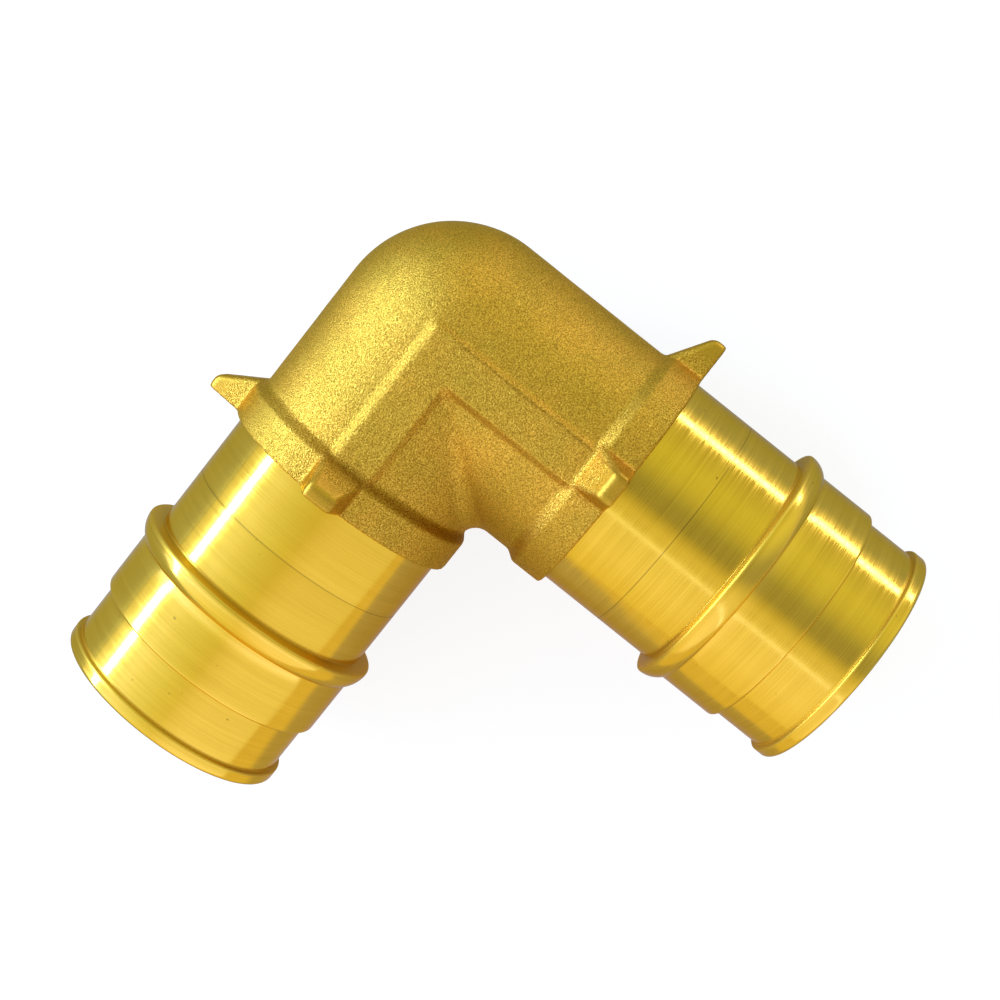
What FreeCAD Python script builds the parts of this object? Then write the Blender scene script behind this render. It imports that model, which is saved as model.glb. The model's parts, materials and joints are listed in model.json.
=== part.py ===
"""Ninety degree brass elbow for plastic pipe that is expanded, pushed over and left to shrink.

One forging. Both barbs are turned on it and both waterways are drilled into it.
Millimetres. The origin is where the two waterway axes cross. One arm runs along +X and the other
along +Y, and the upper face of the forging is towards +Z.
"""
import FreeCAD, Part
import math
import os

V = FreeCAD.Vector

# Turned barb, from the collar's front face to its end
TUBE_R = 10.4
GRIP_LENGTH = 11.05
RIB_HEIGHT = 1.29           # over the tube
RIB_BACK = 0.14             # how far the steep side leans
RIB_EDGE = 0.2
RIB_FRONT = 1.84            # from the crest to the land, on an arc
LAND_HEIGHT = 0.46          # over the tube
LAND_LENGTH = 5.22
SHOULDER_EDGE = 0.2
NOSE_DROP = 0.08            # below the tube
NOSE_LENGTH = 4.67
LIP_HEIGHT = 0.46           # over the nose
LIP_LENGTH = 1.28
LIP_EDGE = 0.15
LIP_LEAD = 0.4              # bevel that leads into the pipe

# Forged body
BODY_RISE = 0.15            # over the tube
X_ARM = 15.6                # crossing of the axes to the collar's front face
Y_ARM = 18.2
CROTCH_ROUND = 1.7

# Raised L-shaped band on the upper and the lower face
BAND_RISE = 0.3             # over the body
BAND_OUTER = 1.3            # its edges, measured from the arm's axis
BAND_INNER = 2.1
BAND_SIDE = 1.5             # height of its leaning sides
BAND_DRAFT = 2.0            # how far they lean out over that height
BAND_CORNER_ROUND = 0.9     # at its corner, seen from above
BAND_ROUND = 0.35           # along its upper edges

# Collar behind each barb
COLLAR_RISE = 0.6           # over the body
COLLAR_LAND = 2.9
COLLAR_BACK = 0.9           # from the land down to the body
COLLAR_EDGE = 0.2

# Lugs on the collar, which hold back the pipe's reinforcing ring
OUTER_LUG_RISE = 3.15       # over the collar, on the elbow's outer side
FACE_LUG_RISE = 2.6         # on the upper and lower faces
LUG_LEAN = 0.05             # how far the front leans back at the tip
LUG_TIP = 1.25              # front of the collar to the top of the back slope
LUG_FOOT = 3.6              # front of the collar to the foot of the back slope
LUG_WIDTH = 2.5
LUG_DRAFT = 1.0             # what each flank gains from tip to root
LUG_ROUND = 0.7             # on the three edges of the back slope

# Waterways
WALL = 1.7                  # between the tube and the bore
MOUTH_CHAMFER = 0.3
DRILL_HALF_ANGLE = 59.0     # between the drill's axis and its cutting edge, in degrees

SEAT = 0.05                 # how far a blend dips under the surface that it runs into
ACROSS_ELBOW = V(1, -1, 0)  # normal of the plane that halves the elbow
BODY_R = TUBE_R + BODY_RISE
BAND_TOP = BODY_R + BAND_RISE
COLLAR_R = BODY_R + COLLAR_RISE
BORE_R = TUBE_R - WALL
RIB_LENGTH = RIB_BACK + RIB_EDGE + RIB_FRONT
BARB_LENGTH = GRIP_LENGTH + RIB_LENGTH + LAND_LENGTH + NOSE_LENGTH + LIP_LENGTH


def swapped(shape):
    """The same shape on the other arm: mirrored in the plane that halves the elbow."""
    return shape.mirror(V(0, 0, 0), ACROSS_ELBOW)


def lines(points):
    return [Part.LineSegment(a, b).toShape() for a, b in zip(points, points[1:])]


def solid_of_revolution(edges):
    """Turns a closed chain of edges in the XY plane about the X axis."""
    return Part.Face(Part.Wire(edges)).revolve(V(0, 0, 0), V(1, 0, 0), 360)


def prism(points, depth):
    """Extrudes a closed outline by a vector."""
    return Part.Face(Part.makePolygon(points + points[:1])).extrude(depth)


def levelled_arc(crest, foot):
    """The arc that leaves a crest level with the X axis and runs down to a foot."""
    length = foot.x - crest.x
    drop = crest.y - foot.y
    radius = (length ** 2 + drop ** 2) / (2 * drop)
    half_angle = math.asin(length / radius) / 2
    middle = crest + V(radius * math.sin(half_angle), radius * (math.cos(half_angle) - 1), 0)
    return Part.Arc(crest, middle, foot).toShape()


def crease(shape):
    """The two edges where the arms' surfaces meet on the inside of the elbow."""
    met = []
    for edge in shape.Edges:
        points = edge.discretize(5)
        off_plane = max(abs(p.x - p.y) for p in points)
        if off_plane < SEAT and min(p.x for p in points) > 0:
            met.append(edge)
    return sorted(met, key=lambda edge: edge.Length)[-2:]


def core():
    """Both arms, the ball at their corner and the raised bands, with the crotch rounded."""
    ball = Part.makeSphere(BODY_R)
    x_bar = Part.makeCylinder(BODY_R, X_ARM - COLLAR_LAND / 2, V(0, 0, 0), V(1, 0, 0))
    y_bar = Part.makeCylinder(BODY_R, Y_ARM - COLLAR_LAND / 2, V(0, 0, 0), V(0, 1, 0))
    upper = band()
    lower = upper.mirror(V(0, 0, 0), V(0, 0, 1))
    joined = ball.multiFuse([x_bar, y_bar, upper, lower]).removeSplitter()
    return joined.makeFillet(CROTCH_ROUND, crease(joined))


def band():
    """The flat L on the upper face, with sides that lean out downwards."""
    x_end = X_ARM - COLLAR_LAND / 2
    y_end = Y_ARM - COLLAR_LAND / 2

    def outline(lean, z):
        outer = -BAND_OUTER - lean
        inner = BAND_INNER + lean
        corners = [V(outer, outer, z), V(x_end, outer, z), V(x_end, inner, z),
                   V(inner, inner, z), V(inner, y_end, z), V(outer, y_end, z)]
        return Part.makePolygon(corners + corners[:1])

    block = Part.makeLoft([outline(BAND_DRAFT, BAND_TOP - BAND_SIDE), outline(0, BAND_TOP)], True, True)
    leaning = [e for e in block.Edges
               if max(v.Z for v in e.Vertexes) - min(v.Z for v in e.Vertexes) > SEAT
               and not on_end(e, x_end, y_end)]
    block = block.makeFillet(BAND_CORNER_ROUND, leaning)
    rims = [e for e in block.Edges
            if min(v.Z for v in e.Vertexes) > BAND_TOP - SEAT and not on_end(e, x_end, y_end)]
    return block.makeFillet(BAND_ROUND, rims)


def on_end(edge, x_end, y_end):
    """Whether an edge closes off one of the band's two ends."""
    ends_x = min(v.X for v in edge.Vertexes) > x_end - SEAT
    ends_y = min(v.Y for v in edge.Vertexes) > y_end - SEAT
    return ends_x or ends_y


def collar(arm):
    """The ring behind a barb: a land with a broken front edge and a slope down to the body."""
    foot_r = BODY_R - SEAT
    back = arm - COLLAR_LAND
    foot = back - COLLAR_BACK
    profile = [V(foot, 0, 0), V(foot, foot_r, 0), V(back, COLLAR_R, 0), V(arm - COLLAR_EDGE, COLLAR_R, 0),
               V(arm, COLLAR_R - COLLAR_EDGE, 0), V(arm, 0, 0), V(foot, 0, 0)]
    return solid_of_revolution(lines(profile))


def lug(arm, rise):
    """A lug that stands on the +Y side of the X arm: its side view cut to its front view."""
    foot_r = BODY_R - SEAT
    core_r = (BORE_R + BODY_R) / 2
    height = COLLAR_R + rise
    side = [V(arm, core_r, 0), V(arm, TUBE_R, 0), V(arm - LUG_LEAN, height, 0),
            V(arm - LUG_TIP, height, 0), V(arm - LUG_FOOT, foot_r, 0), V(arm - LUG_FOOT, core_r, 0)]
    side_view = prism(side, V(0, 0, 4 * LUG_WIDTH))
    side_view.translate(V(0, 0, -2 * LUG_WIDTH))
    tip = LUG_WIDTH / 2
    root = tip + LUG_DRAFT
    front = [V(arm, core_r, -root), V(arm, height, -tip), V(arm, height, tip), V(arm, core_r, root)]
    front_view = prism(front, V(-LUG_FOOT, 0, 0))
    block = side_view.common(front_view)
    back_rims = [e for e in block.Edges if max(v.Y for v in e.Vertexes) > height - SEAT
                 and max(v.X for v in e.Vertexes) < arm - LUG_LEAN - SEAT]
    return block.makeFillet(LUG_ROUND, back_rims)


def lugs(arm):
    """The three lugs of the X arm: outer side, upper face and lower face."""
    outer = lug(arm, OUTER_LUG_RISE)
    outer.rotate(V(0, 0, 0), V(1, 0, 0), 180)
    upper = lug(arm, FACE_LUG_RISE)
    upper.rotate(V(0, 0, 0), V(1, 0, 0), 90)
    lower = lug(arm, FACE_LUG_RISE)
    lower.rotate(V(0, 0, 0), V(1, 0, 0), -90)
    return [outer, upper, lower]


def barb(arm):
    """The turned barb: tube, rib with a steep back and a round front, land, nose and end lip."""
    rib_r = TUBE_R + RIB_HEIGHT
    land_r = TUBE_R + LAND_HEIGHT
    nose_r = TUBE_R - NOSE_DROP
    lip_r = nose_r + LIP_HEIGHT
    rib = arm + GRIP_LENGTH
    crest = V(rib + RIB_BACK + RIB_EDGE, rib_r, 0)
    land = V(rib + RIB_LENGTH, land_r, 0)
    shoulder = land.x + LAND_LENGTH
    lip = shoulder + NOSE_LENGTH
    end = lip + LIP_LENGTH
    root = arm - COLLAR_LAND
    behind = [V(root, 0, 0), V(root, TUBE_R, 0), V(rib, TUBE_R, 0), V(rib + RIB_BACK, rib_r - RIB_EDGE, 0),
              crest]
    ahead = [land, V(shoulder - SHOULDER_EDGE, land_r, 0), V(shoulder, land_r - SHOULDER_EDGE, 0),
             V(shoulder, nose_r, 0), V(lip, nose_r, 0), V(lip, lip_r - LIP_EDGE, 0),
             V(lip + LIP_EDGE, lip_r, 0), V(end - LIP_LEAD, lip_r, 0), V(end, lip_r - LIP_LEAD, 0),
             V(end, 0, 0), V(root, 0, 0)]
    return solid_of_revolution(lines(behind) + [levelled_arc(crest, land)] + lines(ahead))


def waterway(arm):
    """The drilled hole of the X arm: round bore, drill point past the crossing, and mouth."""
    end = arm + BARB_LENGTH
    mouth_r = BORE_R + MOUTH_CHAMFER
    point = BORE_R / math.tan(math.radians(DRILL_HALF_ANGLE))
    profile = [V(-point, 0, 0), V(0, BORE_R, 0), V(end - MOUTH_CHAMFER, BORE_R, 0),
               V(end, mouth_r, 0), V(end + MOUTH_CHAMFER, mouth_r, 0), V(end + MOUTH_CHAMFER, 0, 0),
               V(-point, 0, 0)]
    return solid_of_revolution(lines(profile))


def elbow():
    x_side = [collar(X_ARM), barb(X_ARM)] + lugs(X_ARM)
    y_side = [swapped(s) for s in [collar(Y_ARM), barb(Y_ARM)] + lugs(Y_ARM)]
    forging = core().multiFuse(x_side + y_side)
    drilled = forging.cut([waterway(X_ARM), swapped(waterway(Y_ARM))])
    return drilled.removeSplitter()


def main():
    os.makedirs("parts", exist_ok=True)
    body = elbow()
    solids = body.Solids
    print("solids", len(solids), "valid", body.isValid(), "volume mm3", round(body.Volume, 1))
    solids[0].exportStep("parts/elbow_body.step")


main()
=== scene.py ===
"""Looks of a forged brass elbow with two turned barbs, on a pale floor in soft studio light.

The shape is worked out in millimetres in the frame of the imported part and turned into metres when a
mesh is made. One arm runs along +X and the other along +Y; both faces of the forging are alike.
"""

import json
import math

import bpy
import numpy as np
from mathutils import Matrix, Quaternion, Vector

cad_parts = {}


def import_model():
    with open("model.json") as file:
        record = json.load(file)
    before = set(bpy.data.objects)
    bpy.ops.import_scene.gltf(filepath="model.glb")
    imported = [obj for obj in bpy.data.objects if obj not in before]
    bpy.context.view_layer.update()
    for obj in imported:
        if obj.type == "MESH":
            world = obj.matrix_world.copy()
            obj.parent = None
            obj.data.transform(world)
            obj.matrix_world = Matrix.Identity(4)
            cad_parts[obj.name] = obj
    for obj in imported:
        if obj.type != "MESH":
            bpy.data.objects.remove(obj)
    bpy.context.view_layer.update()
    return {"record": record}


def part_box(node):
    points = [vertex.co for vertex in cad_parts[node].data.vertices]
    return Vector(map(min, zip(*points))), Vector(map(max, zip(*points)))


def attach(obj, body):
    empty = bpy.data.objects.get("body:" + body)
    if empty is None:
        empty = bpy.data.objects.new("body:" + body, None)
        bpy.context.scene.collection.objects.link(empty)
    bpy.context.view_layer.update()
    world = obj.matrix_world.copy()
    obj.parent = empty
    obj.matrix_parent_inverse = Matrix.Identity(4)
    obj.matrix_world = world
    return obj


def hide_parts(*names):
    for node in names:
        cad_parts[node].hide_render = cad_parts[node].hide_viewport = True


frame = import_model()

MM = 0.001

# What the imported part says, in millimetres
LOW, HIGH = [np.array(corner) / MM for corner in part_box("elbow_body")]
X_END, Y_END, FACE_LUG_TOP = HIGH
OUTER_LUG_TOP = -LOW[0]
MOUNTS = {mount["name"]: mount for mount in frame["record"]["mounts"]}
BORE_R = MOUNTS["x_waterway"]["dims"]["r_mm"]
LAND_R = MOUNTS["x_barb"]["dims"]["r_mm"]

# Turned barb, from the collar's front face to its end
TUBE_R = 10.4
GRIP_LENGTH = 11.05
RIB_R = 11.69
RIB_BACK = 0.14
RIB_FRONT = 2.0
LAND_END = 18.45
NOSE_R = 10.32
LIP_START = 23.12
LIP_R = 10.78
BARB_LENGTH = 24.4
RIB_ROUND = 0.27
SHOULDER_ROUND = 0.27
LIP_BACK_ROUND = 0.18
LIP_FRONT_ROUND = 0.42
INNER_ROUND = 0.05
MOUTH_CHAMFER = 0.3
TOOL_MARK = 5.74            # a fine line that the turning tool left, behind the rib
TOOL_MARK_WIDTH = 0.05
TOOL_MARK_DEPTH = 0.03
BARB_ROOT = 2.9             # how far the turned piece runs on inside the collar
DULL_EDGES = [              # (distance from the collar, reach)
    (GRIP_LENGTH + RIB_BACK, 0.5),
    (LIP_START, 0.4),
]
# The tool mark's dark line, and painted shade at the steps of the rib, the shoulder and the lip
TOOL_MARK_AND_STEP_SHADE = [              # (distance from the collar, half width, darkness)
    (TOOL_MARK, 0.08, 0.5),
    (GRIP_LENGTH, 0.15, 0.25),
    (LAND_END, 0.10, 0.25),
    (LIP_START, 0.10, 0.2),
]

# Forged body
BODY_R = 10.55
BAND_TOP = 10.85
BAND_OUTER = 1.3
BAND_INNER = 2.1
BAND_SIDE = 1.5
BAND_DRAFT = 2.0 / BAND_SIDE
BAND_STEEP_DRAFT = 0.9
BAND_ROUND = 1.2            # on the leaning side of the X arm
BAND_EDGE_ROUND = 0.3       # on the steeper sides
BAND_FOOT_ROUND = 0.6
BAND_CORNER_ROUND = 0.9
CROTCH_ROUND = 1.7
COLLAR_R = 11.15
COLLAR_LAND = 2.9
COLLAR_BACK = 0.9
COLLAR_ROUND = 0.4
COLLAR_FOOT_ROUND = 0.6
FRONT_ROUND = 0.25
LUG_TIP = 1.25              # from the collar's front to the top of the back slope
LUG_FOOT = 3.6              # from the collar's front to the foot of the back slope
LUG_HALF_WIDTH = 1.3        # at the tip
LUG_DRAFT = 0.27            # how fast each flank leans out towards the root
LUG_BACK_ROUND = 0.9
LUG_ROUND = 0.6
LUG_ROOT_ROUND = 0.6
BORE_CLEARANCE = 0.03       # the forging's bore stands this far outside the barbs' bore
BORE_ROUND = 0.25
DRILL_HALF_ANGLE = math.radians(59)
OUT_OF_REACH = 100.0        # a distance that no rounding spans
UNEVEN = 0.02               # how much of the forging's skin the hammer's unevenness takes away

X_ARM = X_END - BARB_LENGTH     # from the crossing of the axes to the collar's front face
Y_ARM = Y_END - BARB_LENGTH

# How finely the shapes are divided
GRID_STEP = 0.26            # cells that the forging is sampled in
SETTLING_ROUNDS = 4
TURNS = 288                 # facets round a barb
FACET_LENGTH = 1.2          # along a barb, at most
RIB_FRONT_STEPS = 10
ROUNDING_STEP = math.radians(15)

# Shot-blasted skin: noise in cells per metre, depths in millimetres, (place, colour) stops
GRAIN = 8000
GRAIN_DEPTH = 0.07
FINE_GRAIN = 14000
FINE_GRAIN_DEPTH = 0.02
PATCHES = 160
DIMPLE_TONES = [(0.32, (0.36, 0.20, 0.020)), (0.50, (0.66, 0.38, 0.037)), (0.68, (0.95, 0.60, 0.08))]
PATCH_TONES = [(0.35, (0.82, 0.86, 0.80)), (0.65, (1.0, 0.96, 0.95))]
FORGED_ROUGHNESS = (0.52, 0.32)     # in the dimples and between them
RUBBED = (12.2, 13.4)       # distances from an arm's axis between which its lugs turn smooth
RUBBED_SHARE = 0.7
MID_GREY = (0.5, 0.5, 0.5)

# Painted shade, with some dirt, in the forging's creases and along its band: (place, reach) across each
# line, in millimetres
COLLAR_FOOT_SHADE = (X_ARM - COLLAR_LAND - COLLAR_BACK / 2, 0.8)
INNER_EDGE_SHADE = (BAND_INNER + 0.3, 0.5)
OUTER_EDGE_SHADE = (0.15 - BAND_OUTER, 0.2)
INNER_EDGE_SHADE_DEPTH = 0.25
OUTER_EDGE_SHADE_DEPTH = 0.6
SHADE_AND_DIRT_TINT = (0.60, 0.50, 0.42)

# Turned metal: noise in cells per metre, as (round the axis, along the axis)
TURNED_LINES = (90, 9000)
TURNED_BANDS = (25, 900)
LINE_DEPTH = 0.003
SPECKS = 2100
SPECK_DARKNESS = 0.4
RING_TONES = [(0.3, (0.87, 0.57, 0.054)), (0.7, (0.93, 0.615, 0.063))]
LINE_TONES = [(0.3, (0.88, 0.87, 0.84)), (0.7, (1.0, 1.0, 1.0))]
# colour of the dark specks and of the painted shade at the barb's steps
SPECK_AND_SHADE_COLOUR = (0.10, 0.06, 0.02)
X_ROUGHNESS = (0.14, 0.20)  # from the smoothest line to the roughest
Y_ROUGHNESS = (0.12, 0.25)
EDGE_DULLNESS = 0.3         # roughness that a dull edge adds
COAT = (0.10, 0.15)         # weight and roughness
BRUSHING = 0.5              # how far the lines stretch a highlight

# Floor: its colour in plain light, as the camera sees it, and as the metal mirrors it in each
# region; a fade gives the millimetres between which a region begins
FLOOR_HALF = 3.0            # metres
FLOOR_MATT = (0.28, 0.28, 0.28)
FLOOR_SEEN = (0.8, 0.8, 0.8)
# painted reflection: the floor glows with these colours to glossy rays only, dark beside and between the
# arms as painted shadow
MIRRORED_OUTSIDE = (0.16, 0.18, 0.28)
MIRRORED_BETWEEN = (0.26, 0.20, 0.33)
MIRRORED_BEYOND = (0.58, 0.44, 0.12)
MIRRORED_ASIDE = (0.50, 0.48, 0.50)
BETWEEN_FADE = (0, 10)
BEYOND_X_FADE = (55, 66)
BEYOND_Y_FADE = (28, 42)
ASIDE_FADE = (-50, -110)

# Camera, from the photograph's perspective
CAMERA_AT = Vector((-9.772, 9.803, 144.62)) * MM
CAMERA_AIM = Vector((7.788, 11.301, 0)) * MM
PICTURE_UP = math.radians(218.47)   # the picture's upward direction, from +X
LENS = 61.19
SENSOR = 36.0

# Studio, as (place, colour) stops: 0 is towards -X or -Y, 0.5 overhead and 1 towards +X or +Y
STUDIO_ALONG_X = [
    (0.00, (0.68, 0.70, 0.52)),
    (0.10, (0.82, 0.88, 0.54)),
    (0.20, (0.75, 0.80, 0.50)),
    (0.32, (0.52, 0.56, 0.48)),
    (0.36, (0.44, 0.47, 0.45)),
    (0.47, (0.42, 0.44, 0.44)),
    (0.53, (0.68, 0.67, 0.46)),
    (0.60, (0.94, 0.92, 0.76)),
    (0.65, (0.90, 0.89, 0.78)),
    (0.69, (1.08, 1.08, 1.00)),
    (0.71, (1.60, 1.80, 4.00)),
    (0.73, (1.10, 1.09, 1.30)),
    (0.92, (1.16, 1.14, 1.35)),
    (1.00, (1.08, 1.00, 0.80)),
]
STUDIO_ALONG_Y = [
    (0.00, (0.95, 0.98, 1.10)),
    (0.06, (1.20, 1.36, 2.20)),
    (0.16, (1.20, 1.34, 2.20)),
    (0.22, (1.10, 1.20, 1.60)),
    (0.30, (0.99, 1.08, 1.20)),
    (0.44, (0.88, 0.92, 0.75)),
    (0.54, (0.86, 0.84, 0.62)),
    (0.64, (0.98, 0.95, 0.98)),
    (0.74, (1.04, 1.03, 1.20)),
    (1.00, (1.04, 1.03, 1.20)),
]


def plane(p, normal, through):
    """Distance field and slope of a half-space; the normal points out of the solid."""
    n = np.array(normal, float) / np.linalg.norm(normal)
    return (p - np.array(through, float)) @ n, np.broadcast_to(n, p.shape)


def joined(a, b, fillet=0.0):
    """Union of two solids, with a ball of the given radius rolled round their inner corner."""
    (d1, g1), (d2, g2) = a, b
    first = d1 < d2
    d = np.where(first, d1, d2)
    g = np.where(first[:, None], g1, g2)
    if fillet == 0:
        return d, g
    cos = np.clip(np.sum(g1 * g2, axis=1), -0.9999, 0.9999)
    sin2 = 1 - cos ** 2
    p, q = fillet - d1, fillet - d2
    alpha = (p - q * cos) / sin2
    beta = (q - p * cos) / sin2
    reach = np.sqrt(np.maximum((p * p + q * q - 2 * p * q * cos) / sin2, 1e-12))
    rolled = (alpha > 0) & (beta > 0)
    slope = (alpha[:, None] * g1 + beta[:, None] * g2) / reach[:, None]
    return np.where(rolled, fillet - reach, d), np.where(rolled[:, None], slope, g)


def turned_over(a):
    """The space outside a solid."""
    return -a[0], -a[1]


def common(a, b, rounding=0.0):
    """Intersection of two solids, with the edge between them rounded."""
    return turned_over(joined(turned_over(a), turned_over(b), rounding))


def cut(a, tool):
    return common(a, turned_over(tool))


def swap(p):
    """Points or slopes with X and Y exchanged, which takes one arm to the other."""
    return p[:, [1, 0, 2]]


def on_x_arm(shape, p, *sizes):
    return shape(p, *sizes)


def on_y_arm(shape, p, *sizes):
    """A shape that is written for the X arm, on the Y arm."""
    d, g = shape(swap(p), *sizes)
    return d, swap(g)


def round_bar(p, radius):
    """A bar along +X that ends in a ball at the origin."""
    off = p.copy()
    off[:, 0] = np.minimum(off[:, 0], 0)
    far = np.maximum(np.linalg.norm(off, axis=1), 1e-6)
    return far - radius, off / far[:, None]


def cone(p, start, end):
    """Solid of revolution about X under the line between two (x, radius) points."""
    r = np.maximum(np.hypot(p[:, 1], p[:, 2]), 1e-6)
    along = np.array(end, float) - np.array(start, float)
    nx, nr = np.array((-along[1], along[0])) / np.linalg.norm(along)
    d = (p[:, 0] - start[0]) * nx + (r - start[1]) * nr
    g = np.stack([np.full_like(r, nx), nr * p[:, 1] / r, nr * p[:, 2] / r], axis=1)
    return d, g


def band(p):
    """The flat L on the face: two strips under one top. The X arm's outer side leans out most."""
    top = plane(p, (0, 0, 1), (0, 0, BAND_TOP))
    outer_x = plane(p, (-1, 0, BAND_STEEP_DRAFT), (-BAND_OUTER, 0, BAND_TOP))
    outer_y = plane(p, (0, -1, BAND_DRAFT), (0, -BAND_OUTER, BAND_TOP))
    inner_x = plane(p, (1, 0, BAND_STEEP_DRAFT), (BAND_INNER, 0, BAND_TOP))
    inner_y = plane(p, (0, 1, BAND_STEEP_DRAFT), (0, BAND_INNER, BAND_TOP))
    inside = joined(inner_x, inner_y, BAND_CORNER_ROUND)
    steep = common(common(outer_x, inside), top, BAND_EDGE_ROUND)
    d, g = common(steep, outer_y, BAND_ROUND)
    return np.where(p[:, 2] < BAND_TOP - BAND_SIDE, OUT_OF_REACH, d), g


def collar(p, arm):
    """The ring behind a barb: a land and a slope down to the body."""
    back = arm - COLLAR_LAND
    land = cone(p, (back, COLLAR_R), (arm, COLLAR_R))
    slope = cone(p, (back - COLLAR_BACK, BODY_R), (back, COLLAR_R))
    ahead = plane(p, (-1, 0, 0), (0, 0, 0))
    return common(common(land, slope, COLLAR_ROUND), ahead)


def lug(p, arm, top, out, side):
    """A lug: out is the direction it stands in, top how far it reaches, and side runs across it."""
    out, side = np.array(out, float), np.array(side, float)
    along = np.array((1.0, 0, 0))
    crest = plane(p, out, top * out)
    foot = top * out + (arm - LUG_TIP) * along
    lean = (top - BODY_R) * -along + (LUG_FOOT - LUG_TIP) * out
    back = plane(p, lean, foot)
    left = plane(p, side + LUG_DRAFT * out, LUG_HALF_WIDTH * side + top * out)
    right = plane(p, LUG_DRAFT * out - side, top * out - LUG_HALF_WIDTH * side)
    bottom = plane(p, -out, BORE_R * out)
    block = common(common(crest, back, LUG_BACK_ROUND), common(left, right), LUG_ROUND)
    return common(block, bottom)


def waterway(p):
    """The drilled hole along +X, with the drill's point behind the origin."""
    radius = BORE_R + BORE_CLEARANCE
    point = radius / math.tan(DRILL_HALF_ANGLE)
    return common(cone(p, (0, radius), (1, radius)), cone(p, (-point, 0), (0, radius)))


def unevenness(p):
    """Slow waves of the forged skin: a sum of sines, with its slope. It is never below zero."""
    waves = [((0.9, 0.5, 0.3), 0.4), ((-0.6, 1.1, 0.4), 1.9), ((0.5, -0.4, 1.2), 3.1),
             ((1.9, 0.7, -1.3), 0.8), ((-1.1, -1.6, 1.7), 2.6)]
    d = np.zeros(len(p))
    g = np.zeros(p.shape)
    for direction, phase in waves:
        k = np.array(direction)
        angle = p @ k + phase
        d += (np.sin(angle) + 1) / len(waves)
        g += np.cos(angle)[:, None] * k / len(waves)
    return UNEVEN * d / 2, UNEVEN * g / 2


def forging(points):
    """Distance to the forging's skin, and its slope, at points of the part's frame.

    The lower face mirrors the upper one, so everything is worked out above the middle plane.
    """
    p = points.copy()
    p[:, 2] = np.abs(p[:, 2])
    body = joined(round_bar(p, BODY_R), on_y_arm(round_bar, p, BODY_R), CROTCH_ROUND)
    body = joined(body, band(p), BAND_FOOT_ROUND)
    collars = joined(collar(p, X_ARM), on_y_arm(collar, p, Y_ARM))
    body = joined(body, collars, COLLAR_FOOT_ROUND)
    for on_arm, arm in ((on_x_arm, X_ARM), (on_y_arm, Y_ARM)):
        outer_lug = on_arm(lug, p, arm, OUTER_LUG_TOP, (0, -1, 0), (0, 0, 1))
        face_lug = on_arm(lug, p, arm, FACE_LUG_TOP, (0, 0, 1), (0, 1, 0))
        body = joined(body, outer_lug, LUG_ROOT_ROUND)
        body = joined(body, face_lug, LUG_ROOT_ROUND)
    body = common(body, plane(p, (1, 0, 0), (X_ARM, 0, 0)), FRONT_ROUND)
    body = common(body, plane(p, (0, 1, 0), (0, Y_ARM, 0)), FRONT_ROUND)
    holes = joined(waterway(p), on_y_arm(waterway, p), BORE_ROUND)
    d, g = cut(body, holes)
    wave, wave_slope = unevenness(p)
    g = g + wave_slope
    g[:, 2] *= np.where(points[:, 2] < 0, -1, 1)
    return d + wave, g / np.linalg.norm(g, axis=1)[:, None]


def sampled(shape, low, high, step):
    """A distance field on a grid, worked out slice by slice."""
    axes = [np.arange(a, b + step, step) for a, b in zip(low, high)]
    field = np.empty([len(a) for a in axes])
    ys, zs = np.meshgrid(axes[1], axes[2], indexing="ij")
    for i, x in enumerate(axes[0]):
        p = np.stack([np.full(ys.size, x), ys.ravel(), zs.ravel()], axis=1)
        field[i] = shape(p)[0].reshape(ys.shape)
    return field


def net(field, low, step):
    """Surface nets: a vertex in each cell that the skin crosses, a quad round each crossed edge."""
    cells = tuple(n - 1 for n in field.shape)
    total = np.zeros(cells + (3,))
    count = np.zeros(cells)
    crossings = []
    for axis in range(3):
        n = field.shape[axis] - 1
        lower = np.take(field, np.arange(n), axis=axis)
        upper = np.take(field, np.arange(1, n + 1), axis=axis)
        at = np.argwhere((lower < 0) != (upper < 0))
        a, b = lower[tuple(at.T)], upper[tuple(at.T)]
        place = at.astype(float)
        place[:, axis] += a / (a - b)
        others = [k for k in range(3) if k != axis]
        around = []
        for first, second in ((-1, -1), (0, -1), (0, 0), (-1, 0)):
            cell = at.copy()
            cell[:, others[0]] += first
            cell[:, others[1]] += second
            around.append(cell)
            np.add.at(total, tuple(cell.T), place)
            np.add.at(count, tuple(cell.T), 1)
        crossings.append((axis, a < 0, around))
    used = np.argwhere(count > 0)
    number = np.full(cells, -1)
    number[tuple(used.T)] = np.arange(len(used))
    points = total[tuple(used.T)] / count[tuple(used.T)][:, None] * step + np.array(low)
    quads = []
    for axis, leaving, around in crossings:
        ring = np.stack([number[tuple(cell.T)] for cell in around], axis=1)
        forward = ~leaving if axis == 1 else leaving    # X and Z turn the other way round Y
        ring[~forward] = ring[~forward][:, ::-1]
        quads.append(ring)
    return points, np.concatenate(quads)


def settled(shape, points):
    """Points moved onto the skin, with the skin's normals there."""
    for _ in range(SETTLING_ROUNDS):
        d, g = shape(points)
        points = points - d[:, None] * g
    return points, shape(points)[1]


def new_object(name, points, faces, normals):
    """A smooth mesh object from millimetres; the normals are those of the ideal shape."""
    mesh = bpy.data.meshes.new(name)
    mesh.from_pydata((points * MM).tolist(), [], faces.tolist())
    mesh.shade_smooth()
    mesh.validate()
    mesh.normals_split_custom_set_from_vertices(normals.tolist())
    obj = bpy.data.objects.new(name, mesh)
    bpy.context.scene.collection.objects.link(obj)
    return obj


def forged_body():
    """The forging as one mesh: bar, ball, bands, collars, lugs and the drilled holes."""
    margin = 3 * GRID_STEP
    low = np.array((-OUTER_LUG_TOP, -OUTER_LUG_TOP, -FACE_LUG_TOP)) - margin
    high = np.array((X_ARM, Y_ARM, FACE_LUG_TOP)) + margin
    field = sampled(forging, low, high, GRID_STEP)
    points, quads = net(field, low, GRID_STEP)
    points, normals = settled(forging, points)
    return new_object("forged_body", points, quads, normals)


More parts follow.
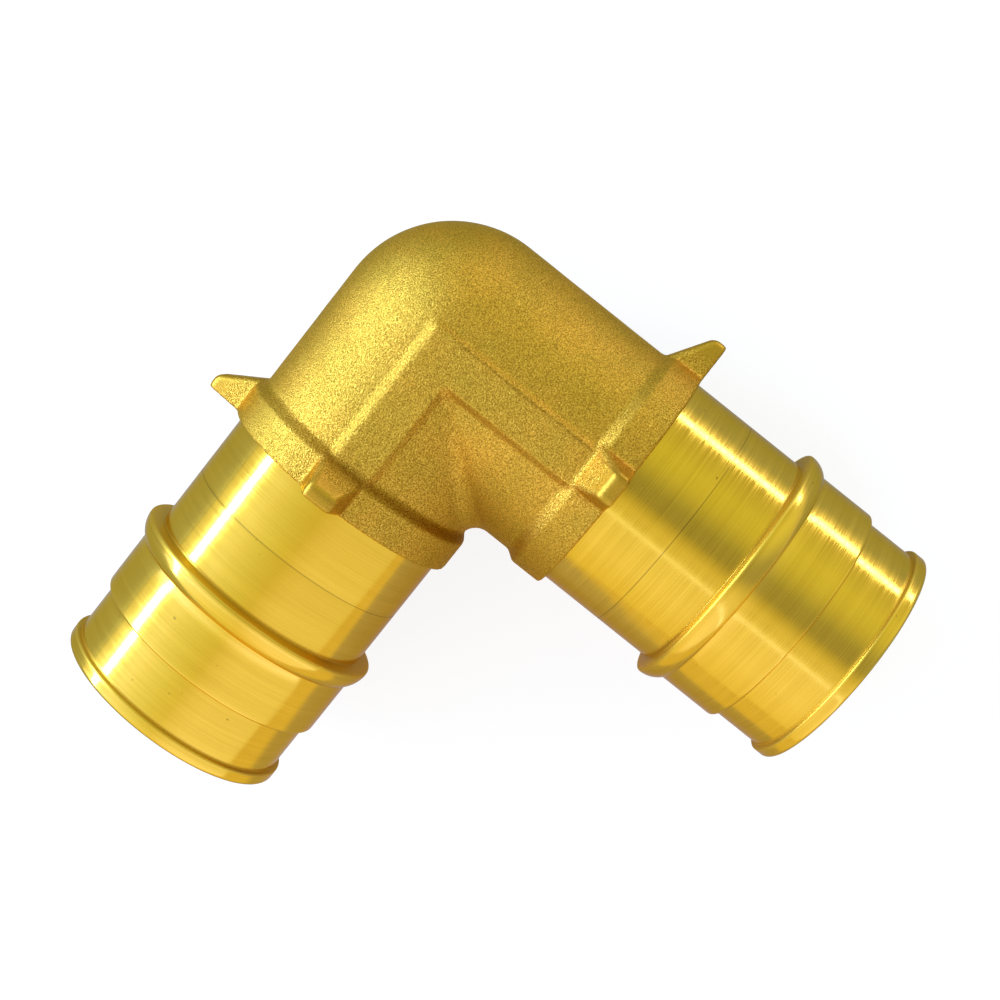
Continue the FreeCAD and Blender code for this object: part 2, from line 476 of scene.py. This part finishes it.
def rounded_path(corners):
    """A polyline of (x, radius, rounding) corners with each corner turned into an arc."""
    spots = [np.array(c[:2], float) for c in corners]
    path = []
    for i, (spot, corner) in enumerate(zip(spots, corners)):
        radius = corner[2]
        if radius == 0:
            path.append(spot)
            continue
        to_last = spots[i - 1] - spot
        to_next = spots[i + 1] - spot
        to_last, to_next = to_last / np.linalg.norm(to_last), to_next / np.linalg.norm(to_next)
        half = math.acos(np.clip(to_last @ to_next, -1, 1)) / 2
        middle = to_last + to_next
        centre = spot + middle / np.linalg.norm(middle) * radius / math.sin(half)
        start = spot + to_last * radius / math.tan(half) - centre
        turn = math.pi - 2 * half
        side = math.copysign(1, to_last[1] * to_next[0] - to_last[0] * to_next[1])
        steps = max(2, round(turn / ROUNDING_STEP))
        for k in range(steps + 1):
            a = side * turn * k / steps
            path.append(centre + (start[0] * math.cos(a) - start[1] * math.sin(a),
                                  start[0] * math.sin(a) + start[1] * math.cos(a)))
    return path


def spaced(path):
    """The same path with long stretches divided, so that no facet is long and thin."""
    out = [path[0]]
    for a, b in zip(path, path[1:]):
        pieces = max(1, math.ceil(np.linalg.norm(b - a) / FACET_LENGTH))
        out += [a + (b - a) * (k + 1) / pieces for k in range(pieces)]
    return out


def rib_front(crest_x, land_x):
    """The arc that leaves the rib's crest level and runs down to the land."""
    length = land_x - crest_x
    drop = RIB_R - LAND_R
    radius = (length ** 2 + drop ** 2) / (2 * drop)
    whole = math.asin(length / radius)
    angles = [whole * k / RIB_FRONT_STEPS for k in range(1, RIB_FRONT_STEPS)]
    return [(crest_x + radius * math.sin(a), RIB_R - radius * (1 - math.cos(a)), 0) for a in angles]


def barb_profile(arm):
    """Half section of a barb as (x, radius) points, from its hidden root round to the bore."""
    rib = arm + GRIP_LENGTH
    crest = rib + RIB_BACK
    land = crest + RIB_FRONT
    shoulder = arm + LAND_END
    lip = arm + LIP_START
    end = arm + BARB_LENGTH
    mark = arm + TOOL_MARK
    corners = [(arm - BARB_ROOT, BORE_R, 0), (arm - BARB_ROOT, TUBE_R, 0),
               (mark - TOOL_MARK_WIDTH, TUBE_R, 0), (mark, TUBE_R - TOOL_MARK_DEPTH, 0),
               (mark + TOOL_MARK_WIDTH, TUBE_R, 0),
               (rib, TUBE_R, INNER_ROUND), (crest, RIB_R, RIB_ROUND)]
    corners += rib_front(crest + RIB_ROUND, land)
    corners += [(land, LAND_R, 0), (shoulder, LAND_R, SHOULDER_ROUND), (shoulder, NOSE_R, INNER_ROUND),
                (lip, NOSE_R, INNER_ROUND), (lip, LIP_R, LIP_BACK_ROUND), (end, LIP_R, LIP_FRONT_ROUND),
                (end, BORE_R + MOUTH_CHAMFER, 0), (end - MOUTH_CHAMFER, BORE_R, 0),
                (arm - BARB_ROOT, BORE_R, 0)]
    return spaced(rounded_path(corners))


def path_normals(path):
    """The normal at each point of a closed path: the longer of its two stretches counts for more."""
    ahead = np.roll(path, -1, axis=0) - path
    across = np.stack([-ahead[:, 1], ahead[:, 0]], axis=1)
    both = across + np.roll(across, 1, axis=0)
    return both / np.linalg.norm(both, axis=1)[:, None]


def revolved(path, angles):
    """Points (x, radius) carried round the X axis, one row of points for each."""
    x = np.repeat(path[:, :1], len(angles), axis=1)
    y = path[:, 1:] * np.cos(angles)
    z = path[:, 1:] * np.sin(angles)
    return np.stack([x, y, z], axis=2).reshape(-1, 3)


def turned_barb(name, arm, along_y):
    """A barb as a closed ring of facets round its axis."""
    path = np.array(barb_profile(arm))[:-1]
    angles = np.arange(TURNS) * 2 * math.pi / TURNS
    points = revolved(path, angles)
    normals = revolved(path_normals(path), angles)
    i, j = np.meshgrid(np.arange(len(path)), np.arange(TURNS), indexing="ij")
    after_i, after_j = (i + 1) % len(path), (j + 1) % TURNS
    quads = np.stack([i * TURNS + j, i * TURNS + after_j,
                      after_i * TURNS + after_j, after_i * TURNS + j], axis=2).reshape(-1, 4)
    if along_y:
        points, normals, quads = swap(points), swap(normals), quads[:, ::-1]
    return new_object(name, points, quads, normals)


class Nodes:
    """A few short calls for building a material's node tree."""

    def __init__(self, tree):
        self.tree = tree
        tree.nodes.clear()

    def add(self, kind, **settings):
        node = self.tree.nodes.new(kind)
        for key, value in settings.items():
            setattr(node, key, value)
        return node

    def link(self, source, target):
        self.tree.links.new(source, target)

    def noise(self, vector, scale, detail=2.0, roughness=0.5):
        node = self.add("ShaderNodeTexNoise")
        node.inputs["Scale"].default_value = scale
        node.inputs["Detail"].default_value = detail
        node.inputs["Roughness"].default_value = roughness
        self.link(vector, node.inputs["Vector"])
        return node.outputs["Fac"]

    def ramp(self, value, *stops):
        """Colour ramp of (position, colour) stops."""
        node = self.add("ShaderNodeValToRGB")
        elements = node.color_ramp.elements
        while len(elements) < len(stops):
            elements.new(0.5)
        for element, (position, colour) in zip(elements, stops):
            element.position = position
            element.color = (*colour, 1)
        self.link(value, node.inputs["Fac"])
        return node.outputs["Color"]

    def span(self, value, low, high, to_low=0.0, to_high=1.0, smooth=True):
        """A value mapped from one range to another and held at its ends."""
        node = self.add("ShaderNodeMapRange")
        node.interpolation_type = "SMOOTHSTEP" if smooth else "LINEAR"
        for name, number in zip(("From Min", "From Max", "To Min", "To Max"), (low, high, to_low, to_high)):
            node.inputs[name].default_value = number
        self.link(value, node.inputs["Value"])
        return node.outputs["Result"]

    def math(self, operation, *values):
        """A Math node fed with numbers or sockets."""
        node = self.add("ShaderNodeMath", operation=operation)
        for socket, value in zip(node.inputs, values):
            if isinstance(value, (int, float)):
                socket.default_value = value
            else:
                self.link(value, socket)
        return node.outputs["Value"]

    def fade(self, value, start, end):
        """0 where a coordinate is at the start and 1 at the end, which are given in millimetres."""
        if start < end:
            return self.span(value, start * MM, end * MM)
        return self.span(value, end * MM, start * MM, 1, 0)

    def near(self, value, place, reach):
        """1 where a coordinate is at a place, falling to 0 at the given reach, in millimetres."""
        off = self.math("ABSOLUTE", self.math("SUBTRACT", value, place * MM))
        return self.fade(off, reach, 0)

    def axes(self, vector):
        """The X, Y and Z sockets of a vector."""
        node = self.add("ShaderNodeSeparateXYZ")
        self.link(vector, node.inputs["Vector"])
        return node.outputs

    def mix(self, factor, a, b, blend="MIX"):
        """A colour mixed from two colours, each a tuple or a socket."""
        node = self.add("ShaderNodeMix", data_type="RGBA", blend_type=blend)
        for socket, value in ((node.inputs[0], factor), (node.inputs[6], a), (node.inputs[7], b)):
            if isinstance(value, (int, float)):
                socket.default_value = value
            elif isinstance(value, tuple):
                socket.default_value = (*value, 1)
            else:
                self.link(value, socket)
        return node.outputs[2]

    def bump(self, height, distance, strength, normal=None):
        """Normals bumped by a height, on top of the given normals if there are any."""
        node = self.add("ShaderNodeBump")
        node.inputs["Distance"].default_value = distance
        node.inputs["Strength"].default_value = strength
        self.link(height, node.inputs["Height"])
        if normal is not None:
            self.link(normal, node.inputs["Normal"])
        return node.outputs["Normal"]

    def stretched(self, vector, scale):
        node = self.add("ShaderNodeMapping")
        node.inputs["Scale"].default_value = scale
        self.link(vector, node.inputs["Vector"])
        return node.outputs["Vector"]


def metal(name):
    """A new metallic material, the helper for its nodes, its shader and the place on the piece."""
    material = bpy.data.materials.new(name)
    material.use_nodes = True
    n = Nodes(material.node_tree)
    shader = n.add("ShaderNodeBsdfPrincipled")
    shader.inputs["Metallic"].default_value = 1.0
    shader.inputs["Specular Tint"].default_value = (0.95, 0.80, 0.40, 1)
    output = n.add("ShaderNodeOutputMaterial")
    n.link(shader.outputs["BSDF"], output.inputs["Surface"])
    place = n.add("ShaderNodeTexCoord").outputs["Object"]
    return material, n, shader, place


def from_axes(n, axes):
    """Distance from the nearer arm's axis. Only the lugs stand further out than the collars."""
    nearer = n.math("MINIMUM", n.math("ABSOLUTE", axes["X"]), n.math("ABSOLUTE", axes["Y"]))
    across = n.math("MULTIPLY", nearer, nearer)
    upwards = n.math("MULTIPLY", axes["Z"], axes["Z"])
    return n.math("SQRT", n.math("ADD", across, upwards))


def shade_and_dirt(n, axes, patches):
    """How much painted shade, with some dirt, darkens the skin: at the foot of the X arm's collar and in
    lines along the band.

    The line on the band's inner side comes and goes with the patches. The outer one is on the Y arm.
    """
    foot = n.near(axes["X"], *COLLAR_FOOT_SHADE)
    foot = n.math("MULTIPLY", foot, n.span(axes["Y"], -8 * MM, 3 * MM, 0.3, 1.0))
    inner = n.near(n.math("MINIMUM", axes["X"], axes["Y"]), *INNER_EDGE_SHADE)
    inner = n.math("MULTIPLY", inner, n.span(patches, 0.4, 0.7, 0.0, INNER_EDGE_SHADE_DEPTH))
    outer = n.near(axes["X"], *OUTER_EDGE_SHADE)
    outer = n.math("MULTIPLY", outer, n.span(axes["Y"], 0, 2 * MM, 0, OUTER_EDGE_SHADE_DEPTH))
    return n.math("MAXIMUM", foot, n.math("MAXIMUM", inner, outer))


def forged_brass():
    """Shot-blasted skin: small bright and dark dimples, slow changes of tone, smoother lugs and painted
    shade in its creases.
    """
    material, n, shader, place = metal("forged_brass")
    axes = n.axes(place)
    rubbed = n.span(from_axes(n, axes), RUBBED[0] * MM, RUBBED[1] * MM, 0.0, RUBBED_SHARE)
    grain = n.mix(rubbed, n.noise(place, GRAIN, 2.0, 0.6), MID_GREY)
    fine = n.mix(rubbed, n.noise(place, FINE_GRAIN, 1.0, 0.5), MID_GREY)
    patches = n.noise(place, PATCHES, 3.0, 0.6)
    speckle = n.ramp(grain, *DIMPLE_TONES)
    tone = n.ramp(patches, *PATCH_TONES)
    skin = n.mix(1.0, speckle, tone, "MULTIPLY")
    shaded = n.mix(1.0, skin, SHADE_AND_DIRT_TINT, "MULTIPLY")
    # painted shade, with some dirt: the skin darkened at the collar's foot and along the band's edges
    n.link(n.mix(shade_and_dirt(n, axes, patches), skin, shaded), shader.inputs["Base Color"])
    n.link(n.span(grain, 0.3, 0.7, *FORGED_ROUGHNESS), shader.inputs["Roughness"])
    dimples = n.bump(grain, GRAIN_DEPTH * MM, 1.0)
    n.link(n.bump(fine, FINE_GRAIN_DEPTH * MM, 1.0, dimples), shader.inputs["Normal"])
    return material


def rings(n, place, axis, scale, detail, roughness):
    """Noise that is drawn out into rings about an axis."""
    around, along = scale
    stretch = [around, around, around]
    stretch["XYZ".index(axis)] = along
    return n.noise(n.stretched(place, stretch), 1.0, detail, roughness)


def turned_brass(name, axis, arm, roughness):
    """Bright turned metal: fine lines round the axis, specks, a dark tool mark, painted shade at the steps
    and duller edges.
    """
    material, n, shader, place = metal(name)
    along = n.axes(place)[axis]
    lines = rings(n, place, axis, TURNED_LINES, 3.0, 0.65)
    bands = rings(n, place, axis, TURNED_BANDS, 2.0, 0.6)
    brushed = n.mix(1.0, n.ramp(bands, *RING_TONES), n.ramp(lines, *LINE_TONES), "MULTIPLY")
    specks_and_shade = n.math("MULTIPLY", n.span(n.noise(place, SPECKS, 0.0), 0.86, 0.89), SPECK_DARKNESS)
    # painted shade: dark lines at the rib's foot, the shoulder and the lip, besides the tool mark's line
    for spot, half_width, darkness in TOOL_MARK_AND_STEP_SHADE:
        line = n.math("MULTIPLY", n.near(along, arm + spot, half_width), darkness)
        specks_and_shade = n.math("MAXIMUM", specks_and_shade, line)
    n.link(n.mix(specks_and_shade, brushed, SPECK_AND_SHADE_COLOUR), shader.inputs["Base Color"])
    rough = n.span(lines, 0.38, 0.62, *roughness)
    for spot, reach in DULL_EDGES:
        dull = n.math("MULTIPLY", n.near(along, arm + spot, reach), EDGE_DULLNESS)
        rough = n.math("ADD", rough, dull)
    n.link(rough, shader.inputs["Roughness"])
    shader.inputs["Coat Weight"].default_value, shader.inputs["Coat Roughness"].default_value = COAT
    shader.inputs["Anisotropic"].default_value = BRUSHING
    shader.inputs["Anisotropic Rotation"].default_value = 0.25
    tangent = n.add("ShaderNodeTangent", direction_type="RADIAL", axis=axis)
    n.link(tangent.outputs["Tangent"], shader.inputs["Tangent"])
    n.link(n.bump(lines, LINE_DEPTH * MM, 0.5), shader.inputs["Normal"])
    return material


def dress(piece, material):
    """Gives a piece its material and its place in the part."""
    piece.data.materials.append(material)
    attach(piece, "root")
    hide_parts("elbow_body")


def seen_directly(n, rays):
    """1 for what the camera sees itself or through glass."""
    return n.math("ADD", rays.outputs["Is Camera Ray"], rays.outputs["Is Transmission Ray"])


def floor_painted_reflection(n):
    """Painted reflection of the floor in the metal, seen by glossy rays only: painted shadow under the
    part, paler to the side and off the arms' ends.
    """
    x, y = n.axes(n.add("ShaderNodeTexCoord").outputs["Object"])[:2]
    between = n.fade(n.math("MINIMUM", x, y), *BETWEEN_FADE)
    past_x_arm = n.fade(n.math("ADD", x, n.math("MULTIPLY", y, 0.25)), *BEYOND_X_FADE)
    past_y_arm = n.fade(y, *BEYOND_Y_FADE)
    colour = n.mix(between, MIRRORED_OUTSIDE, MIRRORED_BETWEEN)
    colour = n.mix(n.math("MULTIPLY", past_x_arm, past_y_arm), colour, MIRRORED_BEYOND)
    return n.mix(n.fade(x, *ASIDE_FADE), colour, MIRRORED_ASIDE)


def floor():
    """A wide pale floor under the lowest lug. It is matt and takes the part's shadow, and it gives off a
    painted reflection to glossy rays.
    """
    level = LOW[2] * MM
    corners = [(x * FLOOR_HALF, y * FLOOR_HALF, level) for x, y in ((-1, -1), (1, -1), (1, 1), (-1, 1))]
    mesh = bpy.data.meshes.new("floor")
    mesh.from_pydata(corners, [], [(0, 1, 2, 3)])
    obj = bpy.data.objects.new("floor", mesh)
    bpy.context.scene.collection.objects.link(obj)
    material = bpy.data.materials.new("pale_floor")
    material.use_nodes = True
    n = Nodes(material.node_tree)
    matt = n.add("ShaderNodeBsdfDiffuse")
    matt.inputs["Color"].default_value = (*FLOOR_MATT, 1)
    lift = n.add("ShaderNodeEmission")
    rays = n.add("ShaderNodeLightPath")
    # painted reflection and painted shadow, given off by the floor to glossy rays only
    mirrored = n.mix(rays.outputs["Is Glossy Ray"], (0.0, 0.0, 0.0), floor_painted_reflection(n))
    n.link(n.mix(seen_directly(n, rays), mirrored, FLOOR_SEEN), lift.inputs["Color"])
    both = n.add("ShaderNodeAddShader")
    n.link(matt.outputs["BSDF"], both.inputs[0])
    n.link(lift.outputs["Emission"], both.inputs[1])
    output = n.add("ShaderNodeOutputMaterial")
    n.link(both.outputs["Shader"], output.inputs["Surface"])
    mesh.materials.append(material)


def world():
    """White to the camera; to the part, a pale studio whose panels change in level and tint."""
    scene_world = bpy.data.worlds.new("studio")
    scene_world.use_nodes = True
    bpy.context.scene.world = scene_world
    n = Nodes(scene_world.node_tree)
    direction = n.add("ShaderNodeTexCoord").outputs["Generated"]
    x, y = n.axes(direction)[:2]
    across = n.ramp(n.span(x, -1, 1, smooth=False), *STUDIO_ALONG_X)
    along = n.ramp(n.span(y, -1, 1, smooth=False), *STUDIO_ALONG_Y)
    studio = n.mix(1.0, across, along, "MULTIPLY")
    rays = n.add("ShaderNodeLightPath")
    colour = n.mix(seen_directly(n, rays), studio, (1.0, 1.0, 1.0))
    background = n.add("ShaderNodeBackground")
    n.link(colour, background.inputs["Color"])
    output = n.add("ShaderNodeOutputWorld")
    n.link(background.outputs["Background"], output.inputs["Surface"])


def softbox(name, toward, distance, width, height, radiance, colour, roll=0):
    """A rectangular lamp that faces the part; its width runs level unless it is rolled, in degrees."""
    lamp = bpy.data.lights.new(name, "AREA")
    lamp.shape = "RECTANGLE"
    lamp.size = width
    lamp.size_y = height
    lamp.energy = radiance * math.pi * width * height
    lamp.color = colour
    obj = bpy.data.objects.new(name, lamp)
    way = Vector(toward).normalized()
    obj.location = way * distance
    facing = way.to_track_quat("Z", "Y") @ Quaternion((0, 0, 1), math.radians(roll))
    obj.rotation_euler = facing.to_euler()
    obj.visible_camera = False
    bpy.context.scene.collection.objects.link(obj)


def lamps():
    """A long lamp beside each arm and a rolled one off the arms' ends; sizes in metres."""
    softbox("left_softbox", toward=(0.10, -0.925, 0.355), distance=0.6,
            width=0.42, height=0.06, radiance=25.0, colour=(0.88, 1.22, 2.2))
    softbox("end_softbox", toward=(0.60, -0.76, 0.22), distance=0.6,
            width=0.28, height=0.05, radiance=10.0, colour=(0.88, 1.22, 2.2), roll=-37)
    softbox("right_softbox", toward=(-0.980, 0.200, 0.004), distance=0.225,
            width=0.125, height=0.024, radiance=7.0, colour=(1.0, 0.96, 1.8))


def camera():
    """The camera, and the scene's active one, where the photograph was taken from."""
    lens = bpy.data.cameras.new("camera")
    lens.lens = LENS
    lens.sensor_width = SENSOR
    lens.clip_start = 0.01
    obj = bpy.data.objects.new("camera", lens)
    away = (CAMERA_AT - CAMERA_AIM).normalized()
    up = Vector((math.cos(PICTURE_UP), math.sin(PICTURE_UP), 0))
    right = up.cross(away).normalized()
    turn = Matrix((right, away.cross(right), away)).transposed()
    obj.matrix_world = Matrix.Translation(CAMERA_AT) @ turn.to_4x4()
    bpy.context.scene.collection.objects.link(obj)
    bpy.context.scene.camera = obj


def main():
    bpy.context.scene.view_settings.view_transform = "Standard"
    camera()
    dress(forged_body(), forged_brass())
    x_barb = turned_barb("x_barb", X_ARM, along_y=False)
    dress(x_barb, turned_brass("turned_brass_x", "X", X_ARM, X_ROUGHNESS))
    y_barb = turned_barb("y_barb", Y_ARM, along_y=True)
    dress(y_barb, turned_brass("turned_brass_y", "Y", Y_ARM, Y_ROUGHNESS))
    floor()
    world()
    lamps()


main()
